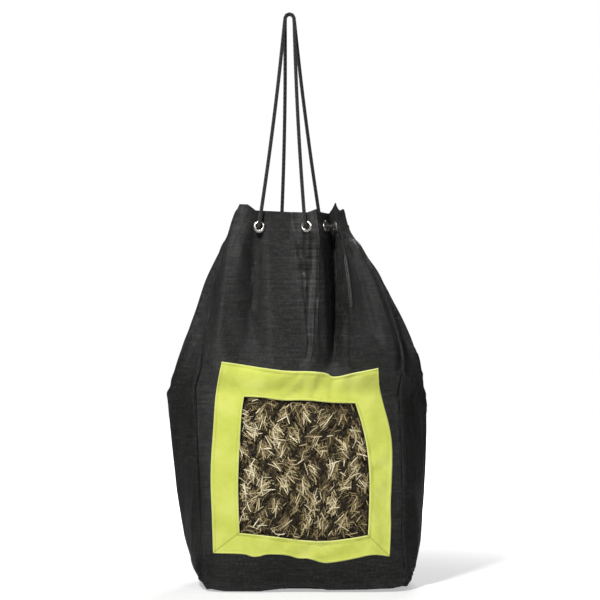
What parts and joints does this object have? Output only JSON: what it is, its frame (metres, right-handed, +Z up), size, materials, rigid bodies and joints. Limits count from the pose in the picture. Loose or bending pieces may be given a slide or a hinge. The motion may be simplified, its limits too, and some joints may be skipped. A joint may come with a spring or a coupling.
{
  "type": "hay bag",
  "caption": "Drawstring hay feeder bag: box-bottomed woven fabric bag with an eyeleted mouth, hanging cord loops and a netted feeding window in a bright trim frame, filled with hay.",
  "frame": {"origin": "middle of the underside of the base panel, on the ground when the bag stands", "axes": "+Z up towards the hanging cord, -Y out of the front with the netted window, +X to the right of a viewer facing the window"},
  "size_m": [0.482, 0.221, 1.073],
  "materials": {
    "fabric": "matt coated plain weave",
    "trim": "matt lime woven binding",
    "netting": "braided knotted twine",
    "cord": "braided cord",
    "eyelet": "nickel plated, lightly scratched",
    "hay": "dry stalks and leaf"
  },
  "bodies": {
    "bag": {"front_panel": "fabric", "back_panel": "fabric", "left_gusset": "fabric", "right_gusset": "fabric", "base_panel": "fabric", "left_hem": "fabric", "right_hem": "fabric", "trim_bottom": "trim", "trim_right": "trim", "trim_top": "trim", "trim_left": "trim", "window_net": "netting", "hay_fill": "hay", "drawstring_left": "cord", "drawstring_right": "cord", "eyelet_05": "eyelet", "eyelet_10": "eyelet", "eyelet_washer_05": "eyelet", "eyelet_washer_10": "eyelet"},
    "front_lip": {"front_hem": "fabric", "drawstring_front_left": "cord", "drawstring_front_right": "cord", "eyelet_01": "eyelet", "eyelet_02": "eyelet", "eyelet_03": "eyelet", "eyelet_04": "eyelet", "eyelet_washer_01": "eyelet", "eyelet_washer_02": "eyelet", "eyelet_washer_03": "eyelet", "eyelet_washer_04": "eyelet"},
    "back_lip": {"back_hem": "fabric", "drawstring_back_left": "cord", "drawstring_back_right": "cord", "eyelet_06": "eyelet", "eyelet_07": "eyelet", "eyelet_08": "eyelet", "eyelet_09": "eyelet", "eyelet_washer_06": "eyelet", "eyelet_washer_07": "eyelet", "eyelet_washer_08": "eyelet", "eyelet_washer_09": "eyelet"},
    "front_loop": {"drawstring_front_loop": "cord"},
    "back_loop": {"drawstring_back_loop": "cord"}
  },
  "joints": [
    {"name": "mouth_open", "type": "hinge", "parent": "bag", "child": "front_lip", "pos_m": [0, -0.08, 0.56], "axis": [1, 0, 0], "range_deg": [0, 15]},
    {"name": "back_lip_open", "type": "hinge", "parent": "bag", "child": "back_lip", "pos_m": [0, 0.08, 0.56], "axis": [-1, 0, 0], "range_deg": [0, 15]},
    {"name": "front_loop_swing", "type": "hinge", "parent": "front_lip", "child": "front_loop", "pos_m": [-0.0276, -0.0741, 0.67], "axis": [0.9927, -0.1206, 0], "range_deg": [0, 150]},
    {"name": "back_loop_swing", "type": "hinge", "parent": "back_lip", "child": "back_loop", "pos_m": [0.0075, 0.071, 0.67], "axis": [-1, 0, 0], "range_deg": [0, 150]}
  ],
  "couplings": [
    {"joint": "back_lip_open", "follows": "mouth_open", "ratio": 1}
  ]
}
